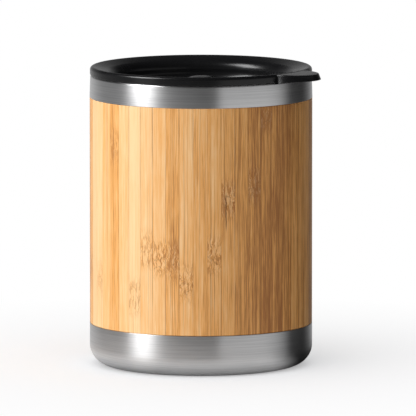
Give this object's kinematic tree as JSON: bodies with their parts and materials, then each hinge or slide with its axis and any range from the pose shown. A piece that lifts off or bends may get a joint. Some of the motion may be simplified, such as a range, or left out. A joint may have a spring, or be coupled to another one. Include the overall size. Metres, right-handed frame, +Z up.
{
  "type": "bamboo cup",
  "caption": "Double-wall steel cup with a sleeve of glued bamboo strips between two brushed bands, and a black press-in lid with a thumb tab and a sliding drinking-hole cover.",
  "frame": {"origin": "centre of the base, on the surface that the cup stands on", "axes": "+Z up along the cup's axis, +X towards the lid's thumb tab, with the drinking hole on the -X side"},
  "size_m": [0.0915, 0.082, 0.1103],
  "materials": {
    "brushed_steel": "brushed round the cup",
    "bamboo": "satin lacquer",
    "lid_black": "satin",
    "silicone": "matt"
  },
  "bodies": {
    "cup": {"base_cup": "brushed_steel", "outer_shell": "brushed_steel", "inner_liner": "brushed_steel", "top_collar": "brushed_steel", "bamboo_strip_01": "bamboo", "bamboo_strip_02": "bamboo", "bamboo_strip_03": "bamboo", "bamboo_strip_04": "bamboo", "bamboo_strip_05": "bamboo", "bamboo_strip_06": "bamboo", "bamboo_strip_07": "bamboo", "bamboo_strip_08": "bamboo", "bamboo_strip_09": "bamboo", "bamboo_strip_10": "bamboo", "bamboo_strip_11": "bamboo", "bamboo_strip_12": "bamboo", "bamboo_strip_13": "bamboo", "bamboo_strip_14": "bamboo", "bamboo_strip_15": "bamboo", "bamboo_strip_16": "bamboo", "bamboo_strip_17": "bamboo", "bamboo_strip_18": "bamboo", "bamboo_strip_19": "bamboo", "bamboo_strip_20": "bamboo", "bamboo_strip_21": "bamboo", "bamboo_strip_22": "bamboo", "bamboo_strip_23": "bamboo", "bamboo_strip_24": "bamboo", "bamboo_strip_25": "bamboo", "bamboo_strip_26": "bamboo", "bamboo_strip_27": "bamboo", "bamboo_strip_28": "bamboo", "bamboo_strip_29": "bamboo", "bamboo_strip_30": "bamboo", "bamboo_strip_31": "bamboo", "bamboo_strip_32": "bamboo", "bamboo_strip_33": "bamboo", "bamboo_strip_34": "bamboo", "bamboo_strip_35": "bamboo", "bamboo_strip_36": "bamboo", "bamboo_strip_37": "bamboo", "bamboo_strip_38": "bamboo", "bamboo_strip_39": "bamboo", "bamboo_strip_40": "bamboo", "bamboo_strip_41": "bamboo", "bamboo_strip_42": "bamboo", "bamboo_strip_43": "bamboo", "bamboo_strip_44": "bamboo", "bamboo_strip_45": "bamboo", "bamboo_strip_46": "bamboo", "bamboo_strip_47": "bamboo", "bamboo_strip_48": "bamboo", "bamboo_strip_49": "bamboo", "bamboo_strip_50": "bamboo"},
    "lid": {"lid_body": "lid_black", "lid_gasket": "silicone"},
    "slider": {"lid_slider": "lid_black"}
  },
  "joints": [
    {"name": "lid_lift", "type": "slide", "parent": "cup", "child": "lid", "axis": [0, 0, 1], "range_m": [0, 0.03]},
    {"name": "slider_slide", "type": "slide", "parent": "lid", "child": "slider", "axis": [-1, 0, 0], "range_m": [0, 0.0102]}
  ]
}
